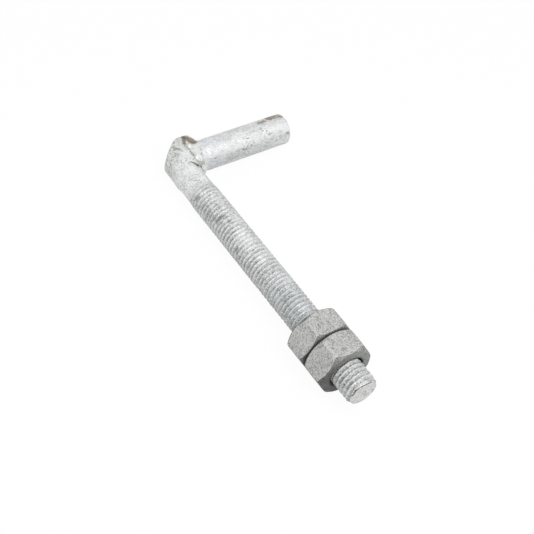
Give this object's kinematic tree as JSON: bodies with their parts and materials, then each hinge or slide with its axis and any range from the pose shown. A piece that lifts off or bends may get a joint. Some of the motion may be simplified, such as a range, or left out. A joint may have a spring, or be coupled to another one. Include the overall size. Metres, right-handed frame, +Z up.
{
  "type": "j bolt",
  "caption": "Galvanised steel rod turned through a tight right angle into a plain round pintle, with a long threaded shank that carries hex nuts near its tip.",
  "frame": {"origin": "on the pintle's axis at its root, at the collar line, where the full diameter begins and the knuckle stops an eye that is dropped on", "axes": "+Y along the pintle towards its free end; +X along the threaded shank towards its tip, which the rest attitude raises by 2.3 degrees; +Z up from the ground the bolt lies on"},
  "size_m": [0.1729, 0.0792, 0.027],
  "materials": {
    "bolt_zinc": "hot-dip galvanised, satin, pitted",
    "nut_zinc": "hot-dip galvanised, dull, speckled"
  },
  "bodies": {
    "bolt": {"hook_bolt": "bolt_zinc"},
    "inner_nut": {"inner_nut": "nut_zinc"},
    "outer_nut": {"outer_nut": "nut_zinc"}
  },
  "joints": [
    {"name": "inner_nut_run", "type": "slide", "parent": "bolt", "child": "inner_nut", "axis": [0.9992, 0, 0.0404], "range_m": [-0.093, 0]},
    {"name": "outer_nut_run", "type": "slide", "parent": "bolt", "child": "outer_nut", "axis": [0.9992, 0, 0.0404], "range_m": [0, 0.026]}
  ]
}
